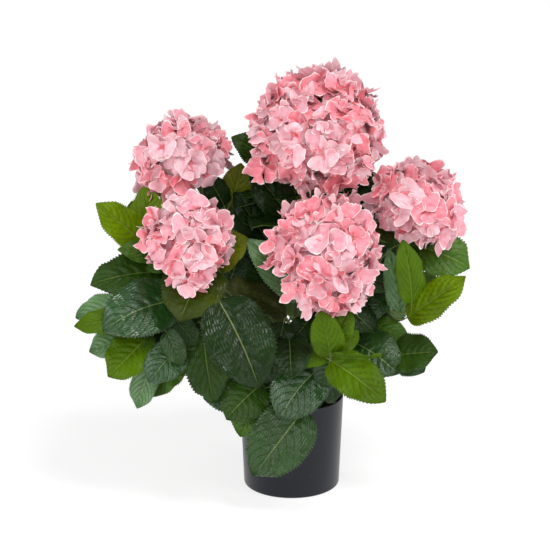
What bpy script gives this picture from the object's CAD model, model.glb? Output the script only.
# Potted mophead hydrangea of the artificial kind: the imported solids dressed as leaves, petals, stems and pot.
# Metres, +Z up, front towards -Y. The growth rules are those of the part, carried down to veins and petals.
import math
import bmesh
import bpy
import numpy as np
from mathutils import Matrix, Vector, kdtree


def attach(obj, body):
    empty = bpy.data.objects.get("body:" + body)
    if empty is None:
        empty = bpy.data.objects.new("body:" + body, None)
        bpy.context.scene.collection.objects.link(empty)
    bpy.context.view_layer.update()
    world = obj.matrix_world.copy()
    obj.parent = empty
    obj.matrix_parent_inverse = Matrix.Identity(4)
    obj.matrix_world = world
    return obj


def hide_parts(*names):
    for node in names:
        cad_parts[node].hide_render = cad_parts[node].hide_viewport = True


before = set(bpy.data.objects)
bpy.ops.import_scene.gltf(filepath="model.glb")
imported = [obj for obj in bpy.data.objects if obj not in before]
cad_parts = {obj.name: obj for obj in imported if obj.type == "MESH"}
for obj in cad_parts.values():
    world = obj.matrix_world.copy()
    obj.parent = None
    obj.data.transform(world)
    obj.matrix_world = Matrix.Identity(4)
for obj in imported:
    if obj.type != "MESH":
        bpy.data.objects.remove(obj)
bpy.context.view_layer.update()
print("frame loaded:", len(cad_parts), "nodes")

mm = 0.001
up = np.array([0.0, 0.0, 1.0])
front = np.array([0.0, -1.0, 0.0])
goldenTurn = math.pi * (3 - math.sqrt(5))


# ---- finishes: a wire is a socket that takes part in sums

class Wire:
    def __init__(self, paint, socket):
        self.paint, self.socket = paint, socket

    def reckon(self, operation, first, second=0.0):
        return self.paint.add("ShaderNodeMath", {"operation": operation}, {0: first, 1: second})

    def __add__(self, other):
        return self.reckon("ADD", self, other)

    def __sub__(self, other):
        return self.reckon("SUBTRACT", self, other)

    def __rsub__(self, other):
        return self.reckon("SUBTRACT", other, self)

    def __mul__(self, other):
        return self.reckon("MULTIPLY", self, other)

    def __pow__(self, other):
        return self.reckon("POWER", self, other)

    def __abs__(self):
        return self.reckon("ABSOLUTE", self)

    __radd__, __rmul__ = __add__, __mul__

    def fraction(self):
        return self.reckon("FRACT", self)

    def held(self):  # kept between 0 and 1
        return self.reckon("MINIMUM", self.reckon("MAXIMUM", self, 0.0), 1.0)


class Paint:
    def __init__(self, name, **uniform):
        self.material = bpy.data.materials.new(name)
        self.material.use_nodes = True
        self.tree = self.material.node_tree
        self.shader = self.tree.nodes["Principled BSDF"]
        for socket, value in uniform.items():
            self.shader.inputs[socket.replace("_", " ")].default_value = value

    def add(self, kind, settings=None, inputs=None, output=0):
        node = self.tree.nodes.new(kind)
        for name, value in (settings or {}).items():
            if name == "stops":  # a ramp's stops
                for stop, (at, colour) in zip(node.color_ramp.elements, value):
                    stop.position, stop.color = at, colour
            else:
                setattr(node, name, value)
        for name, value in (inputs or {}).items():
            if isinstance(value, Wire):
                self.tree.links.new(value.socket, node.inputs[name])
            else:
                node.inputs[name].default_value = value
        return Wire(self, node.outputs[output])

    def mixed(self, share, first, second):
        return self.add("ShaderNodeMix", {"data_type": "RGBA"}, {0: share, 6: first, 7: second}, 2)

    def noise(self, where, scale, detail=2.0, roughness=0.5):
        return self.add("ShaderNodeTexNoise", {}, {"Vector": where, "Scale": scale, "Detail": detail,
                                                  "Roughness": roughness})

    def place(self):  # the plant's own coordinates
        return self.add("ShaderNodeTexCoord", {}, {}, 3)

    def stretched(self, where, *scale):
        return self.add("ShaderNodeMapping", {}, {"Vector": where, "Scale": scale})

    def feed(self, socket, wire):
        self.tree.links.new(wire.socket, self.shader.inputs[socket])

    def bumped(self, height, strength, distance):
        self.feed("Normal", self.add("ShaderNodeBump", {}, {"Strength": strength, "Distance": distance,
                                                           "Height": height}))


def colour(red, green, blue, lift=1.0):  # from the usual 0 to 255 screen values
    def straight(value):
        share = value / 255
        return share / 12.92 if share <= 0.04045 else ((share + 0.055) / 1.055) ** 2.4
    return tuple(min(straight(value) * lift, 1.0) for value in (red, green, blue)) + (1.0,)


def shaded(base, factor):
    return tuple(min(value * factor, 1.0) for value in base[:3]) + (1.0,)


# ---- small helpers

def seeded(seed):  # a repeatable draw between -1 and 1
    state = [seed]

    def draw():
        state[0] = state[0] * 16807 % 2147483647
        return state[0] / 2147483647 * 2 - 1
    return draw


def unit(vector):
    return vector / np.maximum(np.linalg.norm(vector, axis=-1, keepdims=True), 1e-12)


def squareTo(vector, axis):
    return unit(vector - np.sum(vector * axis, axis=-1, keepdims=True) * axis)


def aimed(heading, rise):
    h, r = math.radians(heading), math.radians(rise)
    return np.array([math.cos(r) * math.cos(h), math.cos(r) * math.sin(h), math.sin(r)])


def lerp(first, second, share):
    return first + (second - first) * share


def dressed(name, node):
    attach(name, "root")
    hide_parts(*node)
    return name


# A pattern piece made with mesh operators, kept as arrays so that many bent copies can be joined.
class Pattern:
    def __init__(self, bm, cellOf, kindOf=lambda face: 0, isSmooth=lambda face: True):
        bm.verts.ensure_lookup_table()
        bm.normal_update()
        self.co = np.array([v.co[:] for v in bm.verts])
        self.faces = [[v.index for v in face.verts] for face in bm.faces]
        self.kinds = [kindOf(face) for face in bm.faces]
        self.smooth = [isSmooth(face) for face in bm.faces]
        self.cells = np.array([spot for face in bm.faces for spot in cellOf(face)])
        bm.free()


# Joined copies of a pattern, one per array of corners, each with its own cell in the map that a bake uses.
def joinCopies(name, pattern, shapes, materials, ownMap=None):
    many, each = len(shapes), len(pattern.co)
    faces = [[i + copy * each for i in face] for copy in range(many) for face in pattern.faces]
    mesh = bpy.data.meshes.new(name)
    mesh.from_pydata(np.concatenate(shapes).tolist(), [], faces)
    mesh.polygons.foreach_set("material_index", np.tile(pattern.kinds, many))
    mesh.polygons.foreach_set("use_smooth", np.tile(pattern.smooth, many))
    columns = math.ceil(math.sqrt(many))
    cells = [(pattern.cells * 0.94 + 0.03 + (copy % columns, copy // columns)) / columns
             for copy in range(many)]
    if ownMap:
        mesh.uv_layers.new(name=ownMap[0]).uv.foreach_set("vector", np.tile(ownMap[1], (many, 1)).ravel())
    mesh.uv_layers.new(name="OFBake").uv.foreach_set("vector", np.concatenate(cells).ravel())
    for material in materials:
        mesh.materials.append(material)
    mesh.update()
    made = bpy.data.objects.new(name, mesh)
    bpy.context.scene.collection.objects.link(made)
    return made


def fromBmesh(bm, name, material, smooth=True):
    mesh = bpy.data.meshes.new(name)
    bm.to_mesh(mesh)
    bm.free()
    for face in mesh.polygons:
        face.use_smooth = smooth
    mesh.materials.append(material)
    made = bpy.data.objects.new(name, mesh)
    bpy.context.scene.collection.objects.link(made)
    return made


# ---- growth: the same stems and leaf pairs as the solids have

growth = {"soilTop": 120.0, "footLean": 5.0, "footHeight": 92.0, "aspect": 0.72, "petiole": 0.14,
          "fold": 0.16, "underside": 0.84, "trimmed": 0.8, "firstPair": 4, "flowerPair": 16}
rings = [-0.015, 0, 0.14, 0.24, 0.44, 0.65, 0.85, 1]

flowerShoots = [
    dict(name="top", out=40, heading=14, height=558, radius=106, flatten=0.92, leanHeading=-80, rise=72,
         start=0.97, pairs=3, step=46, turn=80, open=88, leaf=146, young=0.8, droop=0.35, seed=11,
         florets=112, narrow=(0.95, 0.95),
         strays=[(18, -45, -100), (42, -40, -92), (84, -34, -6), (-80, -48, -40)]),
    dict(name="left_back", out=177, heading=160, height=503, radius=82, flatten=0.84, leanHeading=170,
         rise=62, start=0.9, pairs=2, step=44, turn=75, open=86, leaf=132, young=0.85, droop=0.4, seed=29,
         florets=66, narrow=(1, 0.9), strays=[(-28, -58, 36)]),
    dict(name="left_front", out=176, heading=-149, height=414, radius=73, flatten=0.94, leanHeading=-125,
         rise=46, start=0.78, pairs=2, step=42, turn=155, open=90, leaf=146, young=0.85, droop=0.45, seed=37,
         florets=54, narrow=(1, 0.82), bare=(-0.64, -0.1, -0.77), strays=[(8, -28, -60), (-2, -36, -48)]),
    dict(name="centre", out=118, heading=-69, height=400, radius=90, flatten=0.95, leanHeading=-80, rise=40,
         start=0.86, pairs=2, step=40, turn=40, open=88, leaf=132, young=0.85, droop=0.4, seed=41,
         florets=84, narrow=(0.9, 0.93), bare=(-0.75, -0.15, -0.64),
         strays=[(-27, -50, -34), (20, -35, -60), (48, -35, -56)]),
    dict(name="right", out=188, heading=-3, height=450, radius=75, flatten=0.88, leanHeading=-20, rise=60,
         start=0.82, pairs=2, step=44, turn=65, open=88, leaf=138, young=0.85, droop=0.4, seed=53,
         florets=58, narrow=(1, 0.94)),
]

leafShootTable = """
front 160 -70 256 -80 20 .5 3 20 -50 72 122 .5 .3 61
front_low 100 -92 154 -92 -25 .18 2 22 58 68 124 .55 .35 67
front_left 160 -128 334 -108 12 .64 2 22 115 74 160 .9 .35 71
front_left_low 106 -127 208 -112 -25 .3 2 24 165 68 126 .75 .35 73
middle 112 -93 290 -95 14 .72 2 24 30 72 108 .8 .3 139
right 194 -23 318 -50 20 .66 3 24 20 68 122 .7 .25 79
right_low 160 -22 246 -45 8 .42 2 24 55 68 120 .6 .35 83
left 254 -163 258 -140 5 .54 3 24 60 70 126 .65 .35 89
left_high 246 179 384 -150 25 .66 3 26 45 70 130 .8 .25 97
left_low 203 -150 258 -125 -15 .4 2 24 150 66 122 .8 .35 101
left_edge 201 -179 190 -165 -10 .26 2 24 150 66 104 .7 .35 131
back_right 186 48 336 50 22 .7 3 28 35 72 148 .7 .4 103
back_left 190 132 318 128 20 .6 3 28 55 72 148 .7 .4 107
back_high 122 86 424 90 42 .84 2 34 20 76 140 .8 .4 109
back_low 150 92 214 92 -4 .4 3 28 45 70 136 .7 .4 113
right_back 182 18 262 22 10 .55 3 28 50 70 134 .65 .4 127
"""
leafFields = "out heading height leanHeading rise start pairs step turn open leaf young droop seed".split()


class Stem:  # a shoot's centre line: out of the foot, up, and round to its tip
    def __init__(self, shoot):
        g = growth
        self.shoot, self.isFlower = shoot, "radius" in shoot
        self.title = ("flower_" if self.isFlower else "leafy_") + shoot["name"]
        self.aim = aimed(shoot["leanHeading"], shoot["rise"])
        self.centre = aimed(shoot["heading"], 0) * shoot["out"] + up * shoot["height"]
        self.tip = self.centre - self.aim * shoot.get("radius", 0) * g["underside"]
        low = up * (g["soilTop"] + 0.3)
        high = np.array([g["footLean"], g["footLean"], g["soilTop"] + g["footHeight"]])
        start = lerp(low, high, shoot["start"])
        reach = np.linalg.norm(self.tip - start)
        corners = [start, start + aimed(shoot["heading"], 48) * reach * 0.34,
                   self.tip - self.aim * reach * 0.36, self.tip]
        t = np.linspace(0, 1, 201)[:, None]
        self.points = ((1 - t) ** 3 * corners[0] + 3 * (1 - t) ** 2 * t * corners[1]
                       + 3 * (1 - t) * t ** 2 * corners[2] + t ** 3 * corners[3])
        self.ways = unit(3 * (1 - t) ** 2 * (corners[1] - corners[0])
                         + 6 * (1 - t) * t * (corners[2] - corners[1])
                         + 3 * t ** 2 * (corners[3] - corners[2]))
        run = np.concatenate([[0], np.cumsum(np.linalg.norm(np.diff(self.points, axis=0), axis=1))])
        self.length, self.shares = run[-1], run / run[-1]
        self.firstPair = g["flowerPair"] if self.isFlower else g["firstPair"]
        self.massAt = 1 - (self.firstPair + (shoot["pairs"] - 1) * shoot["step"] + 10) / self.length

    def at(self, share):
        return np.stack([np.interp(share, self.shares, self.points[:, i]) for i in range(3)], axis=-1)

    def way(self, share):
        return unit(np.stack([np.interp(share, self.shares, self.ways[:, i]) for i in range(3)], axis=-1))

    def pairShares(self):
        return [1 - (self.firstPair + pair * self.shoot["step"]) / self.length
                for pair in range(self.shoot["pairs"])]

    def plans(self):
        shoot, draw, made = self.shoot, seeded(self.shoot["seed"]), []
        for pair, at in enumerate(self.pairShares()):
            age = pair / (shoot["pairs"] - 1)
            for side in (0, 180):
                turn = shoot["turn"] + pair * 90 + side + draw() * 9
                opening = shoot["open"] * (1 - 0.28 * age if self.isFlower else 0.75 + 0.3 * age) + draw() * 7
                length = lerp(shoot["young"], 1, age) * shoot["leaf"] * (1 + draw() * 0.08)
                droop = shoot["droop"] * (0.8 + 0.5 * age) * (1 + draw() * 0.3)
                made.append(dict(root=self.at(at), axis=self.way(at), turn=turn, open=opening, length=length,
                                 droop=droop, seed=shoot["seed"] * 31 + pair * 7 + side))
        return made


def settled(plan, turned=0, opened=0, size=1.0):
    turn, opening = math.radians(plan["turn"] + turned), math.radians(plan["open"] + opened)
    axis = plan["axis"]
    zenith = squareTo(front if axis[2] > 0.8 else up, axis)
    out = zenith * math.cos(turn) + np.cross(axis, zenith) * math.sin(turn)
    along = unit(out * math.sin(opening) + axis * math.cos(opening))
    face = squareTo(axis * 0.8 + up * 0.55, along)
    return {**plan, "length": plan["length"] * size, "along": along, "face": face}


def outline(t):
    return 2.378 * np.sqrt(t) * (1 - t) ** 0.8


def solidCorners(leaf):  # where the solid of this leaf has its edge corners and its tip
    spot, found = leaf["root"], []
    for i, share in enumerate(rings):
        way = unit(leaf["along"] - up * leaf["droop"] * max(share - growth["petiole"], 0))
        if 3 < i < 7:
            half = outline((share - 0.14) / 0.86) * leaf["length"] * growth["aspect"] / 2
            face = squareTo(leaf["face"], way)
            beside = np.cross(face, way)
            found += [spot + beside * half * s + face * half * growth["fold"] for s in (-1, 1)]
        if i < 7:
            spot = spot + way * (rings[i + 1] - share) * leaf["length"]
    return found + [spot]


# The way that each leaf took in the solids: the first choice whose corners are found there.
def leavesOf(stem):
    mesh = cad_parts["leaves_" + stem.title].data
    tree = kdtree.KDTree(len(mesh.vertices))
    for vertex in mesh.vertices:
        tree.insert(vertex.co, vertex.index)
    tree.balance()
    kept = []
    for number, plan in enumerate(stem.plans()):
        best = (9.0, None)
        for size in (1, 0.85):
            for opened in (0, -14, 14):
                for turned in (0, 14, -14, 28, -28, 42, -42):
                    leaf = settled(plan, turned, opened, size)
                    gaps = sorted(tree.find(Vector(corner * mm))[2] / mm for corner in solidCorners(leaf))
                    if gaps[4] < best[0]:
                        best = (gaps[4], leaf)
        if best[0] < 0.7:
            kept.append({**best[1], "number": number, "spray": stem.title})
    return kept


stems = [Stem(shoot) for shoot in flowerShoots]
for line in leafShootTable.split("\n")[1:-1]:
    words = line.split()
    numbers = dict(zip(leafFields, map(float, words[1:])))
    stems.append(Stem({"name": words[0], **numbers, "pairs": int(words[7]), "seed": int(words[14])}))
leaves = [leaf for stem in stems for leaf in leavesOf(stem)]
print("leaves found in the solids:", len(leaves))


# ---- leaves

leafLook = {"columns": 16, "teeth": 26, "veins": 7, "veinRise": 0.48, "veinBend": 1.3, "thickness": 0.5,
            "quilt": 0.036, "ruffle": 0.028, "toothDepth": 0.1, "midrib": 0.7, "stalkRadius": 1.5,
            "underside": (84, 112, 44), "stalk": (112, 128, 58)}

# The rule's leaves from a spray's tip down; the last word stands for all that follow. Where the word is none,
# and on sprays without a row, the set leaves below take the place.
sprayTints = {
    "flower_top": "none dark dark dark dark dark", "flower_left_back": "none leaf mid leaf",
    "flower_centre": "none dark blue none", "flower_right": "none none leaf none",
    "leafy_middle": "none dark none dark", "leafy_back_right": "mid dark", "leafy_back_left": "leaf dark",
    "leafy_back_high": "dark", "leafy_back_low": "dark", "leafy_right_back": "darkMid none none dark",
}
tintColours = {
    "bright": (79, 111, 0), "lime": (104, 134, 0), "mid": (72, 110, 26), "leaf": (46, 78, 12),
    "dark": (22, 48, 11), "darkMid": (42, 76, 26), "blue": (34, 78, 26), "olive": (54, 70, 6),
    "dull": (98, 108, 8), "brown": (60, 68, 24), "grey": (90, 134, 74),
}
tintGloss = {  # specular level, roughness, and how strongly the fine ribs show
    "bright": (0.13, 0.34, 0.06), "lime": (0.13, 0.34, 0.06), "mid": (0.24, 0.3, 0.08),
    "leaf": (0.24, 0.3, 0.08), "dark": (0.22, 0.23, 0.1), "darkMid": (0.44, 0.24, 0.13),
    "blue": (0.8, 0.2, 0.15), "olive": (0.22, 0.36, 0.08), "dull": (0.22, 0.36, 0.08),
    "brown": (0.2, 0.42, 0.08), "grey": (0.8, 0.24, 0.14),
}

# Set leaves: the stem that carries each, its tint, where its blade begins, where its tip is, width and roll.
setLeafTable = """
leafy_left_high lime -230 5 391 -294 -25 458 58 0
leafy_left_high lime -236 18 392 -204 28 481 58 0
leafy_left_high mid -230 25 387 -245 40 445 43 0
leafy_left_high mid -195 -2 367 -263 -32 388 38 0
leafy_left_high mid -171 -4 366 -221 -34 358 34 0
leafy_left_high leaf -193 5 341 -307 -25 330 73 0
leafy_left blue -171 -66 319 -282 -116 286 92 0
flower_left_front olive -132 -66 368 -166 -146 310 101 0
leafy_left grey -251 -54 305 -328 -44 283 49 0
leafy_left bright -254 -89 298 -323 -114 292 41 0
leafy_left grey -245 -64 258 -306 -74 239 52 0
leafy_left bright -219 -83 264 -275 -113 213 76 0
leafy_left mid -210 -83 267 -221 -103 247 17 0
leafy_left_low darkMid -188 -107 283 -164 -127 235 37 20
leafy_left_low dark -170 -56 261 -234 -46 263 49 0
leafy_left_low blue -165 -101 254 -213 -131 210 61 0
leafy_left_edge grey -218 -10 197 -240 -24 130 47 0
leafy_left_edge mid -164 -2 201 -215 -17 146 46 0
leafy_front_left dark -108 -132 338 -49 -182 220 107 0
leafy_left_low leaf -134 -67 270 -118 -97 167 73 0
leafy_front_left_low blue -40 -32 166 -136 -62 161 70 0
leafy_front_left_low leaf -46 -81 190 -100 -101 141 80 0
leafy_front_left_low mid -53 -77 169 -78 -92 109 67 0
leafy_front_low darkMid 18 -110 161 -58 -135 63 98 0
leafy_front blue 43 -103 227 -19 -128 150 89 0
leafy_front bright 56 -160 255 133 -222 214 69 0
leafy_front bright 55 -150 257 39 -155 330 52 0
leafy_front bright 56 -144 260 84 -132 330 46 0
leafy_front bright 56 -142 258 98 -122 288 31 0
leafy_front bright 56 -156 265 128 -196 276 15 80
leafy_front bright 52 -146 254 12 -156 247 23 0
leafy_right_low darkMid 91 -55 249 159 -95 211 76 0
leafy_right_low leaf 151 -70 231 218 -95 246 67 0
leafy_right mid 122 -32 273 179 -52 250 43 0
leafy_right bright 178 -86 320 162 -81 416 47 0
leafy_right lime 172 -77 294 256 -97 365 58 0
flower_right mid 177 1 387 270 -19 355 84 0
leafy_right grey 163 -45 283 143 -50 395 40 5
flower_top dark 62 44 440 138 39 483 55 0
flower_top olive 77 42 452 113 22 416 43 0
flower_right olive 130 1 422 148 -19 393 34 0
flower_left_front dull -117 -54 374 -66 -74 417 64 0
flower_left_back dull -97 53 434 -78 43 504 54 0
flower_centre grey 15 -37 313 -69 -57 412 58 5
flower_centre dark -15 -3 289 -79 -13 385 70 0
flower_centre brown -8 -41 288 -106 -81 348 70 20
leafy_back_high leaf -24 112 477 -93 92 534 55 0
leafy_back_high dark -12 58 342 -89 38 459 76 0
flower_top dark 12 25 390 -67 15 502 73 0
leafy_middle dark -13 -112 299 -45 -132 209 52 0
leafy_middle leaf -9 -9 200 -46 -19 127 43 0
leafy_middle dark 26 -97 300 -7 -117 266 40 0
leafy_middle mid -17 -47 228 -31 -42 270 20 20
leafy_middle olive 29 -42 247 -17 -52 209 46 0
leafy_right blue 142 -37 313 109 -52 281 37 0
leafy_front dark 53 -114 221 63 -104 168 37 0
leafy_left_high darkMid -161 27 293 -172 17 218 70 0
leafy_left dark -142 4 261 -220 14 219 61 0
flower_left_back brown -46 32 288 -121 32 291 52 0
leafy_front darkMid 78 -120 258 38 -120 201 61 0
leafy_right dark 125 -18 304 172 -18 272 49 0
flower_left_back dark -104 43 436 -131 38 485 43 0
flower_left_front dark -104 -6 309 -82 -16 370 55 0
leafy_right_low darkMid 152 -52 231 200 -72 206 61 0
flower_top dull 21 29 436 -34 21 476 40 0
flower_top mid 15 26 428 -28 20 442 26 0
leafy_left_low dark -142 -60 282 -190 -72 242 46 0
leafy_left_low darkMid -180 -84 296 -144 -96 256 40 0
"""


def leafPattern():
    look, bm = leafLook, bmesh.new()
    bmesh.ops.create_grid(bm, x_segments=look["columns"], y_segments=look["teeth"] * 2, size=1)
    bmesh.ops.solidify(bm, geom=bm.faces[:], thickness=1)
    bmesh.ops.recalc_face_normals(bm, faces=bm.faces[:])

    def levelOf(face):  # 0 for the upper side, 1 for the lower, 2 for the edge between them
        levels = {round(v.co.z) for v in face.verts}
        return 2 if len(levels) == 2 else -levels.pop()

    def cellOf(face):
        level, spots = levelOf(face), []
        isEnd = level == 2 and len({round(v.co.y, 4) for v in face.verts}) == 1
        for v in face.verts:
            across, along = v.co.x / 2 + 0.5, (v.co.y / 2 + 0.5) * 0.93
            if level == 2 and isEnd:
                across, along = across * 0.85, 0.95 + 0.02 * (v.co.z + 1) + (0.03 if v.co.y > 0 else 0)
            elif level == 2:
                across = 0.9 + 0.03 * (v.co.z + 1) + (0.05 if v.co.x > 0 else 0)
            else:
                across = across * 0.43 + 0.45 * level
            spots.append((across, along))
        return spots

    ownSpots = [(v.co.x / 2 + 0.5, v.co.y / 2 + 0.5) for face in bm.faces for v in face.verts]
    made = Pattern(bm, cellOf, lambda face: min(levelOf(face), 1), lambda face: levelOf(face) < 2)
    made.own = np.array(ownSpots)
    return made


def spineOf(leaf):  # the leaf's middle line, drooping evenly from its stalk on
    shares = np.linspace(rings[0], 1, 90)
    sunk = np.outer(np.maximum(shares - growth["petiole"] - 0.09, 0), up)
    ways = unit(leaf["along"] - sunk * leaf["droop"])
    steps = ways[:-1] * np.diff(shares)[:, None] * leaf["length"]
    points = leaf["root"] + np.concatenate([[np.zeros(3)], np.cumsum(steps, axis=0)])

    def read(table, at):
        return np.stack([np.interp(at, shares, table[:, i]) for i in range(3)], axis=-1)
    return lambda at: (read(points, at), unit(read(ways, at)))


def ruleLeaf(leaf):  # a leaf of the rule, with what a blade and a stalk need
    reader, petiole = spineOf(leaf), growth["petiole"]
    return {**leaf, "width": leaf["length"] * growth["aspect"],
            "spine": lambda b: reader(petiole + (1 - petiole) * b),
            "stalkLine": lambda share: reader(lerp(rings[0], petiole + 0.025, share))}


def curvedLine(first, middle, last):
    def line(share):
        t = np.asarray(share)[..., None]
        way = (1 - t) * (middle - first) + t * (last - middle)
        return (1 - t) ** 2 * first + 2 * t * (1 - t) * middle + t ** 2 * last, unit(way)
    return line


def setLeaf(words, number):
    stem = next(one for one in stems if one.title == words[0])
    base, tip, draw = np.array(words[2:5], float), np.array(words[5:8], float), seeded(number * 911 + 77)
    for _ in range(4):
        draw()
    chord, roll = tip - base, math.radians(float(words[9]) + draw() * 9)
    length, along = np.linalg.norm(chord), unit(chord)
    face = squareTo(np.array([0.1 * draw(), -0.78, 0.62]), along)
    face = face * math.cos(roll) + np.cross(along, face) * math.sin(roll)
    bow, swing = length * (0.075 + 0.03 * draw()), length * 0.05 * draw()
    beside = np.cross(along, face)

    def spine(b):
        b = np.asarray(b)[..., None]
        bent = base + chord * b + face * bow * 4 * b * (1 - b) + beside * swing * np.sin(np.pi * b)
        way = chord + face * bow * 4 * (1 - 2 * b) + beside * swing * np.pi * np.cos(np.pi * b)
        return bent, unit(way)
    near = np.linalg.norm(stem.points - base, axis=1) + 0.25 * (stem.points[:, 2] - base[2])
    last = int(len(near) * growth["trimmed"]) - 2  # the stalk leaves the stem before its cut end
    root, way = stem.points[near[10:last].argmin() + 10], spine(np.array([0.0]))[1][0]
    inside, gap = spine(np.array([0.03]))[0][0], np.linalg.norm(base - root)
    return {"spine": spine, "width": float(words[8]), "length": length * 1.1, "face": face,
            "stalkLine": curvedLine(root, base - way * gap * 0.5, inside), "tint": words[1],
            "seed": number * 57 + 5}


def bladeShape(leaf, pattern):
    look, draw = leafLook, seeded(int(leaf["seed"]) + 17)
    for _ in range(5):
        draw()
    across, row, level = pattern.co[:, 0], pattern.co[:, 1] / 2 + 0.5, pattern.co[:, 2]
    u, isEdge = np.sign(across) * np.abs(across) ** 1.3, np.abs(across) > 0.999
    isTooth = np.round(row * look["teeth"] * 2) % 2 == 1
    b = np.clip(row + np.where(isEdge & isTooth, 0.7 / (look["teeth"] * 2), 0), 0, 1)
    length = leaf["length"]
    half = np.maximum(outline(b ** 1.08) ** 0.7 * leaf["width"] / 2, lerp(1.3, 0.35, b))
    half = half * (1 - 0.5 * np.clip((b - 0.78) / 0.22, 0, 1) ** 1.5)  # drawn out to a point
    half = half * np.where(isEdge & ~isTooth, 1 - look["toothDepth"], 1)
    spot, way = leaf["spine"](b)
    face = squareTo(leaf["face"], way)
    beside = np.cross(way, face)
    size, veins = np.abs(u), look["veins"]
    puff = np.abs(np.sin(np.pi * (veins * (row - look["veinRise"] * size ** look["veinBend"]) + 0.3)))
    room = np.clip(size * 7, 0, 1) * (1 - 0.6 * size ** 2) * np.clip(b * 7, 0, 1) * np.clip((1 - b) * 5, 0, 1)
    wave = np.sin(2 * np.pi * (lerp(2.1, 3.2, abs(draw())) * b + np.where(u > 0, draw(), draw())))
    lift = size * half * (growth["fold"] + 0.05 * draw()) - 0.10 * half * size ** 2
    lift = (lift + puff * room * look["quilt"] * length
            + wave * size ** 2.5 * look["ruffle"] * length * np.clip(b * 4, 0, 1))
    lift = lift + u * half * 0.10 * draw() * b
    rib = look["midrib"] * np.exp(-(u * half / 2.2) ** 2) * (1 - 0.8 * b)
    lift = lift + np.where(level < -0.5, -look["thickness"] - 1.4 * rib, 0.4 * rib)
    return (spot + beside * (u * half)[:, None] + face * lift[:, None]) * mm


def tubePattern(sides, rows):
    bm = bmesh.new()
    bmesh.ops.create_cone(bm, cap_ends=True, cap_tris=False, segments=sides, radius1=1, radius2=1, depth=1)
    upright = [edge for edge in bm.edges if abs(edge.verts[0].co.z - edge.verts[1].co.z) > 0.5]
    bmesh.ops.subdivide_edges(bm, edges=upright, cuts=rows - 1, use_grid_fill=True)

    def cellOf(face):
        if len({round(v.co.z, 4) for v in face.verts}) == 1:
            side = 0.98 if face.verts[0].co.z > 0 else 0.02
            return [(side + v.co.x * 0.015, side + v.co.y * 0.015) for v in face.verts]
        turns = [math.atan2(v.co.y, v.co.x) / (2 * math.pi) + 0.5 for v in face.verts]
        if max(turns) - min(turns) > 0.5:
            turns = [turn + 1 if turn < 0.5 else turn for turn in turns]
        return [(0.05 + 0.9 * turn / (1 + 1 / sides), 0.05 + 0.9 * (v.co.z + 0.5)) for turn, v in
                zip(turns, face.verts)]
    return Pattern(bm, cellOf, isSmooth=lambda face: len(face.verts) == 4)


def tubeShape(pattern, line, aside, radiusAt):  # line gives points and ways; radiusAt reads share and turn
    share = pattern.co[:, 2] + 0.5
    spot, way = line(share)
    across = squareTo(np.broadcast_to(aside, way.shape), way)
    turn = np.arctan2(pattern.co[:, 1], pattern.co[:, 0])
    radius = radiusAt(share, turn)[:, None]
    outward = across * np.cos(turn)[:, None] + np.cross(way, across) * np.sin(turn)[:, None]
    return (spot + outward * radius) * mm


def straightLine(first, last):
    way = unit(last - first)
    return lambda share: (lerp(first, last, share[:, None]), np.broadcast_to(way, (len(share), 3)))


def leafPaint(name, tint, gloss, roughness, ribbing):
    base = colour(*tint)
    paint = Paint(name, Specular_IOR_Level=gloss)
    mapped = paint.add("ShaderNodeUVMap", {"uv_map": "leafMap"})
    split = {"Vector": mapped}
    across = abs(paint.add("ShaderNodeSeparateXYZ", {}, split, 0) * 2.0 - 1.0)
    along = paint.add("ShaderNodeSeparateXYZ", {}, split, 1)
    midrib = (1.3 - across * (22.0 + along * 16.0)).held()
    risen = across ** (1.3 * leafLook["veinBend"]) * leafLook["veinRise"]
    vein = (along - risen) * float(leafLook["veins"]) + 0.3
    sideVein = (1.0 - abs((vein + 0.5).fraction() - 0.5) * 16.0).held()
    patches = paint.noise(paint.place(), 22.0, 3.0)
    grain = paint.noise(paint.place(), 420.0, 2.0)
    rungs = paint.add("ShaderNodeMath", {"operation": "SINE"}, {0: across * 84.0 + patches * 7.0})
    net = paint.add("ShaderNodeTexVoronoi", {"feature": "DISTANCE_TO_EDGE"},
                    {"Vector": paint.stretched(mapped, 26.0, 34.0, 1.0), "Scale": 1.0})
    body = paint.mixed(((patches - 0.35) * 2.2).held(), shaded(base, 0.72), shaded(base, 1.22))
    body = paint.mixed(grain * 0.35, body, shaded(base, 0.8))
    pale = tuple(lerp(value, target, 0.6) for value, target in zip(base[:3], (0.42, 0.52, 0.14))) + (1.0,)
    veinLine = (1.0 - abs((vein + 0.5).fraction() - 0.5) * 36.0).held()
    body = paint.mixed(sideVein * 0.2, body, shaded(base, 0.6))
    body = paint.mixed(veinLine * 0.4, body, pale)
    body = paint.mixed(midrib * 0.7, body, pale)
    paint.feed("Base Color", body)
    paint.feed("Roughness", grain * 0.14 + (roughness - 0.07))
    relief = (net * 3.0).held() * 0.08 + rungs * ribbing - sideVein * (0.6 + gloss * 1.2)
    paint.bumped(relief + midrib * 0.5 + grain * 0.05, 0.8, 0.0013)
    return paint.material


def stalkPaint(name, tint, roughness, scale):
    base = colour(*tint)
    paint = Paint(name)
    streak = paint.noise(paint.stretched(paint.place(), 1.0, 1.0, 0.25), scale, 3.0)
    paint.feed("Base Color",
               paint.mixed(((streak - 0.3) * 2.0).held(), shaded(base, 0.62), shaded(base, 1.25)))
    paint.feed("Roughness", streak * 0.2 + roughness)
    paint.bumped(streak, 0.5, 0.0006)
    return paint.material


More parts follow.
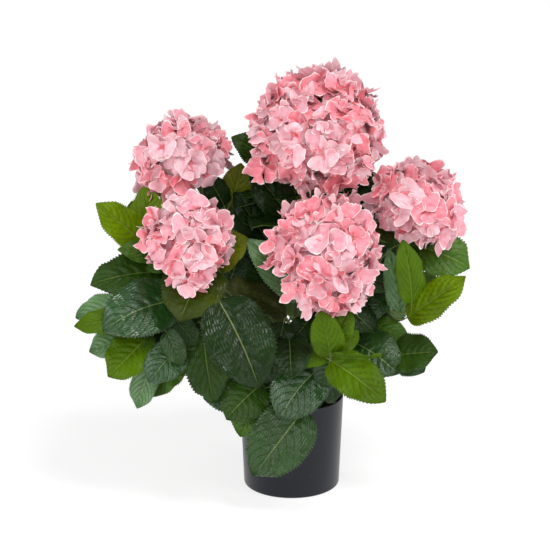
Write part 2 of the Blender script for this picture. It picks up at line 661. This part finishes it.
def youngLeaves(stem):  # one more pair at the very tip, small and steep
    shoot, draw, made = stem.shoot, seeded(stem.shoot["seed"] * 3 + 5), []
    for side in (0, 180):
        plan = dict(root=stem.at(0.992), axis=stem.way(0.992), turn=shoot["turn"] - 90 + side + draw() * 12,
                    open=34 + draw() * 10, length=shoot["leaf"] * (0.3 + 0.05 * draw()), droop=0.25,
                    seed=stem.shoot["seed"] * 13 + side)
        made.append({**settled(plan), "number": 0, "spray": stem.title})
    return made


for stem in stems:
    if stem.title.startswith("leafy_back"):
        leaves += youngLeaves(stem)

blade, stalk = leafPattern(), tubePattern(6, 5)
underside = leafPaint("leafUnderside", leafLook["underside"], 0.2, 0.6, 0.1)
stalkGreen = stalkPaint("stalkGreen", leafLook["stalk"], 0.5, 90.0)
blades = {tint: [] for tint in tintColours}
stalks = []
dressedLeaves = []
for leaf in leaves:
    words = sprayTints.get(leaf["spray"], "none").split()
    tint = words[min(leaf["number"], len(words) - 1)]
    if tint != "none":
        dressedLeaves.append({**ruleLeaf(leaf), "tint": tint})
for number, line in enumerate(setLeafTable.split("\n")[1:-1]):
    dressedLeaves.append(setLeaf(line.split(), number))


def stalkRadius(share, turn):
    return leafLook["stalkRadius"] * (1.15 - 0.45 * share) * (1 + 0.12 * np.cos(2 * turn))


for leaf in dressedLeaves:
    blades[leaf["tint"]].append(bladeShape(leaf, blade))
    stalks.append(tubeShape(stalk, leaf["stalkLine"], leaf["face"], stalkRadius))
sprays = ["leaves_" + stem.title for stem in stems]
for tint, shapes in blades.items():
    if not shapes:
        continue
    piece = joinCopies("leaf_blades_" + tint, blade, shapes,
                       [leafPaint("leaf" + tint.title(), tintColours[tint], *tintGloss[tint]), underside],
                       ("leafMap", blade.own))
    dressed(piece, sprays)
dressed(joinCopies("leaf_stalks", stalk, stalks, [stalkGreen]), sprays)
print("leaves made:", {tint: len(shapes) for tint, shapes in blades.items()})


# ---- stems

stemLook = {"footRadius": 4.2, "shoulder": 3.1, "tipRadius": 2.2, "ringSpacing": 7.0, "nodeSwell": 1.1,
            "trunkSides": 28, "wood": (84, 92, 44), "bark": (92, 78, 50)}


def stemShape(stem, first, last, firstRadius, lastRadius, seed):
    rows = max(4, round((last - first) * stem.length / stemLook["ringSpacing"]))
    pattern, draw = tubePattern(9, rows), seeded(seed)
    phase, nodes = draw() * 3, stem.pairShares()

    def radiusAt(share, turn):
        at = lerp(first, last, share)
        swell = sum(np.exp(-((at - node) * stem.length / 3.5) ** 2) for node in nodes) * stemLook["nodeSwell"]
        groove = 0.16 * np.sin(3 * turn + phase) + 0.12 * np.sin(5 * turn - 30 * at + phase * 2)
        return lerp(firstRadius, lastRadius, share) + swell + groove
    aside = np.cross(aimed(stem.shoot["heading"], 0), up)
    return pattern, tubeShape(pattern, lambda share: (stem.at(lerp(first, last, share)),
                                                      stem.way(lerp(first, last, share))), aside, radiusAt)


woodGreen = stalkPaint("stemGreen", stemLook["wood"], 0.55, 60.0)
barkBrown = stalkPaint("stemBase", stemLook["bark"], 0.72, 45.0)
for stem in stems:
    look = stemLook
    pattern, shape = stemShape(stem, 0, stem.massAt, look["footRadius"], look["shoulder"], stem.shoot["seed"])
    dressed(joinCopies("bough_dressed_" + stem.title, pattern, [shape], [woodGreen]), ["bough_" + stem.title])
    end = growth["trimmed"] if sprayTints.get(stem.title, "none").startswith("none") else 1
    pattern, shape = stemShape(stem, stem.massAt, end, look["shoulder"], look["tipRadius"],
                               stem.shoot["seed"] + 1)
    dressed(joinCopies("stem_dressed_" + stem.title, pattern, [shape], [woodGreen]), ["leaves_" + stem.title])


def trunkRadius(share, turn):
    flare = 6 * (1 - np.minimum(share * 4, 1)) ** 2
    ridge = 0.9 * np.sin(5 * turn + 3 * np.sin(4 * share)) + 0.5 * np.sin(11 * turn - 6 * share)
    return flare + lerp(15, 10, share) + ridge * (1 - 0.3 * share)


trunk = tubePattern(stemLook["trunkSides"], 26)
lean = growth["footLean"]
trunkLine = straightLine(np.array([0, 0, growth["soilTop"] - 2]),
                         np.array([lean, lean, growth["soilTop"] + growth["footHeight"]]))
footShape = tubeShape(trunk, trunkLine, front, trunkRadius)
dressed(joinCopies("stem_foot_dressed", trunk, [footShape], [barkBrown]), ["stem_foot"])
print("stems made")


# ---- flower heads

bloomLook = {"petalLength": 24.5, "petalWidth": 0.7, "lift": 21, "tilt": 0.38, "depths": (14, 18, 22),
             "lastAngle": 126, "bareShare": 0.86, "innerDepth": 32, "innerCount": 0.65, "beadRadius": 1.5,
             "stalkRadius": 0.8, "claw": (232, 112, 128), "rim": (255, 232, 232), "middle": (214, 204, 150),
             "stalk": (150, 158, 92)}
petalTints = {"light": (238, 192, 203), "mid": (234, 161, 177), "deep": (246, 140, 157)}


def petalPattern():
    bm = bmesh.new()
    bmesh.ops.create_grid(bm, x_segments=8, y_segments=6, size=1)
    acrossStops, alongStops = [0, 0.33, 0.66, 0.9, 1], [-1, -0.6, -0.2, 0.2, 0.6, 0.9, 1]
    for v in bm.verts:
        v.co.x = math.copysign(acrossStops[round(abs(v.co.x) * 4)], v.co.x)
        v.co.y = alongStops[round(v.co.y * 3) + 3]

    def kindOf(face):  # 0 blade, 1 claw at the middle of the floret, 2 pale rim
        middle = face.calc_center_median()
        if middle.y < -0.6:
            return 1
        return 2 if max(abs(middle.x), middle.y) > 0.92 else 0
    return Pattern(bm, lambda face: [(v.co.x / 2 + 0.5, v.co.y / 2 + 0.5) for v in face.verts], kindOf)


def petalShapes(pattern, petals):  # one row of values for each petal
    x, y = pattern.co[:, 0], pattern.co[:, 1]
    across, along = x * np.sqrt(1 - y * y / 2), (y * np.sqrt(1 - x * x / 2) + 1) / 2
    turn, radius = np.arctan2(across, along - 0.45), np.hypot(across, (along - 0.5) * 2)
    edge = np.maximum(np.abs(x), y).clip(0, 1) ** 3
    value = {name: np.array([petal[name] for petal in petals])[..., None] for name in
             "length width lift curl cup ruffle phase twist lobes notch crease".split()}
    narrow = 0.34 + 0.66 * np.clip(along * 1.7, 0, 1) ** 0.8
    crinkle = np.sin(value["lobes"] * 1.5 * turn + value["phase"] * 3)
    side = across * narrow * value["width"] * value["length"] * (1 + 0.06 * edge * crinkle)
    out = along + along ** 3 * (0.06 * value["notch"] * (1 - np.abs(across)) + 0.035 * edge * crinkle)
    angle = value["lift"] + value["curl"] * along * 0.5
    rise = np.sin(angle) * out * value["length"] + value["cup"] * across ** 2 * value["length"]
    wave = np.sin(value["lobes"] * turn + value["phase"])
    rise = rise + value["ruffle"] * value["length"] * radius ** 2 * wave
    rise = rise + 0.085 * value["length"] * edge * np.cos(value["lobes"] * 2.1 * turn + value["phase"])
    rise = rise - value["crease"] * value["length"] * np.abs(across) * along
    reach = np.cos(angle) * out * value["length"]
    rise = rise + side * np.sin(value["twist"] * along)
    way, facing, seat = (np.array([petal[name] for petal in petals])[:, None, :]
                         for name in ("way", "facing", "seat"))
    return (seat + way * reach[..., None] + np.cross(way, facing) * side[..., None]
            + facing * rise[..., None]) * mm


def floretPetals(seat, facing, size, spin, draw):
    beside = squareTo(front if abs(facing[2]) > 0.9 else up, facing)
    across, made = np.cross(facing, beside), []
    for quarter in range(4):
        angle = spin + quarter * math.pi / 2 + draw() * 0.16
        way = beside * math.cos(angle) + across * math.sin(angle)
        made.append(dict(seat=seat + facing * (0.5 if quarter % 2 else 0.0), way=way, facing=facing,
                         length=size * (1 + draw() * 0.16),
                         width=bloomLook["petalWidth"] * (1 + draw() * 0.16),
                         lift=math.radians(bloomLook["lift"] + draw() * 21), curl=draw() * 1.1 - 0.3,
                         cup=0.05 + draw() * 0.25, ruffle=0.11 + draw() * 0.06, phase=draw() * math.pi,
                         twist=draw() * 0.8, lobes=3 + round(draw()), notch=draw(), crease=draw() * 0.3))
    return made


def headFlorets(stem):  # seats over the flattened ball as in the solids, closer, and a second layer inside
    shoot, look, draw = stem.shoot, bloomLook, seeded(stem.shoot["seed"] * 7)
    beside = squareTo(front, stem.aim)
    across = np.cross(stem.aim, beside)

    def onBall(polar, turn, share):
        offset = (stem.aim * math.cos(polar) * shoot["flatten"] + beside * math.sin(polar) * math.cos(turn)
                  + across * math.sin(polar) * math.sin(turn)) * shoot["radius"] * share
        return stem.centre + offset * (shoot.get("narrow", (1, 1))[int(offset[0] > 0)], 1, 1)

    made = []
    for spot in shoot.get("strays", ()):  # a few that hang out of the ball
        offset = np.array(spot, float)
        made.append((stem.centre + offset, unit(offset * (1, 2, 0.5)), draw() * math.pi, False, draw()))
    for isInner, many in ((False, shoot["florets"]), (True, round(shoot["florets"] * look["innerCount"]))):
        lowest = math.cos(math.radians(look["lastAngle"]))
        for i in range(many):
            polar = math.acos(1 - (1 - lowest) * (i + 0.5) / many)
            turn = i * goldenTurn + draw() * 0.2
            depth = look["innerDepth"] if isInner else look["depths"][i % 3] + draw() * 2
            share = 1 - depth / shoot["radius"]
            seat = onBall(polar, turn, share)
            facing = unit(seat - stem.centre)
            facing = unit(facing + beside * draw() * look["tilt"] + across * draw() * look["tilt"]
                          + up * draw() * 0.2)
            if np.dot(unit(seat - stem.centre), shoot.get("bare", (0, 0, 0))) < look["bareShare"]:
                made.append((seat, facing, draw() * math.pi, isInner, draw()))
    return made, onBall, draw


petal, pedicel = petalPattern(), tubePattern(4, 3)
beadMesh = bmesh.new()
bmesh.ops.create_icosphere(beadMesh, subdivisions=1, radius=1)
bead = Pattern(beadMesh, lambda face: [(0.2, 0.2), (0.8, 0.2), (0.5, 0.8)])
petals, beads, pedicels = {tint: [] for tint in petalTints}, [], []
for stem in stems[:5]:
    florets, onBall, draw = headFlorets(stem)
    hubs = [onBall(math.acos(1 - 1.5 * (i + 0.5) / 11), i * 2.4, 0.46) for i in range(11)]
    for hub in hubs:
        pedicels.append(tubeShape(pedicel, straightLine(stem.tip, hub), squareTo(front, unit(hub - stem.tip)),
                                  lambda share, turn: 1.7 - 0.5 * share))
    for seat, facing, spin, isInner, dealt in florets:
        tint = "deep" if isInner or dealt < -0.4 else "light" if dealt > 0.2 else "mid"
        size = bloomLook["petalLength"] * (0.85 if isInner else 1) * (1 + draw() * 0.08)
        petals[tint] += floretPetals(seat, facing, size, spin, draw)
        if not isInner:
            beads.append((bead.co * bloomLook["beadRadius"] + seat + facing * 0.9) * mm)
        hub = min(hubs, key=lambda spot: np.linalg.norm(spot - seat))
        aside = squareTo(front + up * 0.3, unit(seat - hub))
        pedicels.append(tubeShape(pedicel, straightLine(hub, seat), aside,
                                  lambda share, turn: bloomLook["stalkRadius"] * (1 + 0.3 * share)))


def paler(base, share):  # nearer white, or for a share below nought deeper, with red held
    moved = [value + (1 - value) * share if share > 0 else value * (1 + share) for value in base[1:3]]
    return (base[0], *moved, 1.0)


def petalPaint(name, tint):
    base = colour(*tint)
    paint = Paint(name, Sheen_Weight=0.25, Sheen_Roughness=0.4)
    cloud = paint.noise(paint.place(), 120.0, 2.0)
    weave = paint.noise(paint.place(), 900.0, 2.0, 0.6)
    paint.feed("Base Color", paint.mixed(((cloud - 0.32) * 2.6).held(), paler(base, -0.16), paler(base, 0.2)))
    paint.feed("Roughness", weave * 0.2 + 0.62)
    paint.bumped(weave * 0.4 + cloud, 0.25, 0.0006)
    return paint.material


claw, rim = petalPaint("petalClaw", bloomLook["claw"]), petalPaint("petalRim", bloomLook["rim"])
heads = ["bloom_" + shoot["name"] for shoot in flowerShoots]
for tint, shapes in petals.items():
    piece = joinCopies("petals_" + tint, petal, list(petalShapes(petal, shapes)),
                       [petalPaint("petal" + tint.title(), petalTints[tint]), claw, rim])
    dressed(piece, heads)
middlePaint = petalPaint("floretMiddle", bloomLook["middle"])
pedicelPaint = stalkPaint("floretStalk", bloomLook["stalk"], 0.5, 120.0)
dressed(joinCopies("floret_middles", bead, beads, [middlePaint]), heads)
dressed(joinCopies("floret_stalks", pedicel, pedicels, [pedicelPaint]), heads)
print("flower heads made:", {tint: len(shapes) // 4 for tint, shapes in petals.items()}, "florets")


# ---- pot and filling

potLook = {"topRadius": 80.6, "footRadius": 74.6, "height": 146, "wall": 2.4, "floor": 3, "sides": 160,
           "footRound": 3, "rimRound": 0.9, "recess": 0.8, "gloss": 0.34, "tint": (13, 15, 25),
           "scuffs": (70, 72, 80)}
fillLook = {"belowRim": 30, "crown": 4, "lumps": 260, "lumpSize": 2.6, "dark": (24, 17, 12),
            "pale": (74, 54, 38)}


def spun(profile, sides):  # a closed or open profile of radius and height, turned round the axis
    bm = bmesh.new()
    spots = [bm.verts.new((radius * mm, 0, height * mm)) for radius, height in profile]
    edges = [bm.edges.new(pair) for pair in zip(spots, spots[1:])]
    bmesh.ops.spin(bm, geom=spots + edges, cent=(0, 0, 0), axis=(0, 0, 1), angle=2 * math.pi, steps=sides,
                   use_merge=True)
    bmesh.ops.remove_doubles(bm, verts=bm.verts[:], dist=1e-6)
    bmesh.ops.recalc_face_normals(bm, faces=bm.faces[:])
    return bm


def ringEdges(bm, radius, height):  # the edges of one turned corner
    def isThere(v):
        return abs(math.hypot(v.co.x, v.co.y) / mm - radius) < 0.05 and abs(v.co.z / mm - height) < 0.05
    return [edge for edge in bm.edges if isThere(edge.verts[0]) and isThere(edge.verts[1])]


def potPaint():
    paint = Paint("potCharcoal", Specular_IOR_Level=potLook["gloss"])
    base = colour(*potLook["tint"])
    cloud = paint.noise(paint.place(), 14.0, 3.0)
    grain = paint.noise(paint.place(), 700.0, 2.0)
    flow = paint.noise(paint.stretched(paint.place(), 1.0, 1.0, 0.08), 160.0, 2.0)
    scuff = (paint.noise(paint.place(), 95.0, 4.0, 0.7) - 0.62) * 5.0
    clean = paint.mixed(cloud, shaded(base, 0.8), shaded(base, 1.25))
    paint.feed("Base Color", paint.mixed(scuff.held() * 0.25, clean, colour(*potLook["scuffs"])))
    paint.feed("Roughness", cloud * 0.10 + grain * 0.06 + scuff.held() * 0.12 + 0.24)
    paint.bumped(grain * 0.3 + flow * 0.5, 0.12, 0.0004)
    return paint.material


look = potLook
bm = spun([(0, look["recess"]), (60, look["recess"]), (61.5, 0), (look["footRadius"], 0),
           (look["topRadius"], look["height"]), (look["topRadius"] - look["wall"], look["height"]),
           (look["footRadius"] - look["wall"], look["floor"]), (0, look["floor"])], look["sides"])
rims = [(look["footRadius"], 0, look["footRound"], 5),
        (look["topRadius"], look["height"], look["rimRound"], 4),
        (look["topRadius"] - look["wall"], look["height"], look["rimRound"], 4)]
for radius, height, rounding, segments in rims:
    bmesh.ops.bevel(bm, geom=ringEdges(bm, radius, height), offset=rounding * mm, segments=segments,
                    profile=0.5, affect="EDGES", material=-1)
dressed(fromBmesh(bm, "pot_shell", potPaint()), ["pot"])


def fillPaint():
    paint = Paint("pottingFill")
    clump = paint.noise(paint.place(), 130.0, 4.0, 0.65)
    stops = [(0.3, colour(*fillLook["dark"])), (0.75, colour(*fillLook["pale"]))]
    paint.feed("Base Color", paint.add("ShaderNodeValToRGB", {"stops": stops}, {"Fac": clump}))
    paint.feed("Roughness", clump * 0.2 + 0.75)
    paint.bumped(clump, 0.9, 0.002)
    return paint.material


def wallAt(height):
    share = (height - potLook["floor"]) / (potLook["height"] - potLook["floor"])
    return lerp(potLook["footRadius"], potLook["topRadius"], share) - potLook["wall"] - 0.3


edgeHeight, bottom = potLook["height"] - fillLook["belowRim"], potLook["floor"] + 0.3
steps = [(share, edgeHeight + fillLook["crown"] * min(1, (1 - share) / 0.28))
         for share in np.linspace(0, 1, 30)]
bm = spun([(0, bottom), (wallAt(bottom), bottom)] + [(wallAt(edgeHeight) * share, height)
                                                     for share, height in reversed(steps)], 90)
draw = seeded(977)
for v in bm.verts:
    if v.co.z / mm > edgeHeight - 1:
        v.co.z += (draw() * 0.7 - 0.5) * mm
dressed(fromBmesh(bm, "filling_top", fillPaint()), ["potting_fill"])
lumps = []
for i in range(fillLook["lumps"]):
    reach, turn = 70 * math.sqrt((i + 0.5) / fillLook["lumps"]), i * 2.39996
    size = fillLook["lumpSize"] * (1 + draw() * 0.45)
    height = edgeHeight + 3.2 * min(1, (1 - reach / 70) * 3)
    spot = np.array([reach * math.cos(turn), reach * math.sin(turn), height])
    lumps.append((bead.co * (size * (1.2 + draw() * 0.3), size * (1 + draw() * 0.3), size * 0.7) + spot) * mm)
dressed(joinCopies("filling_lumps", bead, lumps, [fillPaint()]), ["potting_fill"])
print("pot and filling made")


# ---- stage, lights and camera

stageLook = {"sky": 0.34, "glow": 0.74, "sun": 1.32, "left": 18, "right": 16, "frontal": 27, "sunWidth": 18,
             "sunFrom": (0.4, -0.4, 1.0), "cameraAt": (-0.026, -2.7806, 1.1617),
             "cameraAim": (-0.026, 0, 0.3381), "lens": 124.04}
floorMesh = bmesh.new()
bmesh.ops.create_grid(floorMesh, x_segments=1, y_segments=1, size=30)
floorPaint = Paint("floorWhite", Roughness=0.9, Specular_IOR_Level=0.1, Emission_Strength=stageLook["glow"])
floorPaint.shader.inputs["Emission Color"].default_value = (1, 1, 1, 1)
floorPaint.shader.inputs["Base Color"].default_value = (0.36, 0.36, 0.36, 1)
floor = fromBmesh(floorMesh, "floor", floorPaint.material)

world = bpy.data.worlds.new("studio")
world.use_nodes = True
world.node_tree.nodes["Background"].inputs["Color"].default_value = (1, 1, 1, 1)
world.node_tree.nodes["Background"].inputs["Strength"].default_value = stageLook["sky"]
bpy.context.scene.world = world


def softbox(name, power, place, target, width, height):
    light = bpy.data.lights.new(name, "AREA")
    light.energy, light.shape, light.size, light.size_y = power, "RECTANGLE", width, height
    lamp = bpy.data.objects.new(name, light)
    lamp.location = place
    lamp.rotation_euler = (Vector(target) - Vector(place)).to_track_quat("-Z", "Y").to_euler()
    bpy.context.scene.collection.objects.link(lamp)


sunData = bpy.data.lights.new("lightTop", "SUN")
sunData.energy, sunData.angle = stageLook["sun"], math.radians(stageLook["sunWidth"])
sun = bpy.data.objects.new("lightTop", sunData)
sun.rotation_euler = Vector(stageLook["sunFrom"]).to_track_quat("Z", "Y").to_euler()
bpy.context.scene.collection.objects.link(sun)
softbox("lightLeft", stageLook["left"], (-2.0, -1.2, 1.0), (0, 0, 0.3), 0.5, 1.8)
softbox("lightRight", stageLook["right"], (2.0, -1.2, 1.0), (0, 0, 0.3), 0.5, 1.8)
softbox("lightFront", stageLook["frontal"], (-0.4, -3.2, 1.9), (0, 0, 0.35), 1.6, 1.2)

cameraData = bpy.data.cameras.new("camera")
cameraData.sensor_width, cameraData.lens = 36, stageLook["lens"]
camera = bpy.data.objects.new("camera", cameraData)
camera.location = stageLook["cameraAt"]
sight = Vector(stageLook["cameraAim"]) - camera.location
camera.rotation_euler = sight.to_track_quat("-Z", "Y").to_euler()
bpy.context.scene.collection.objects.link(camera)
bpy.context.scene.camera = camera
bpy.context.scene.view_settings.view_transform = "Standard"
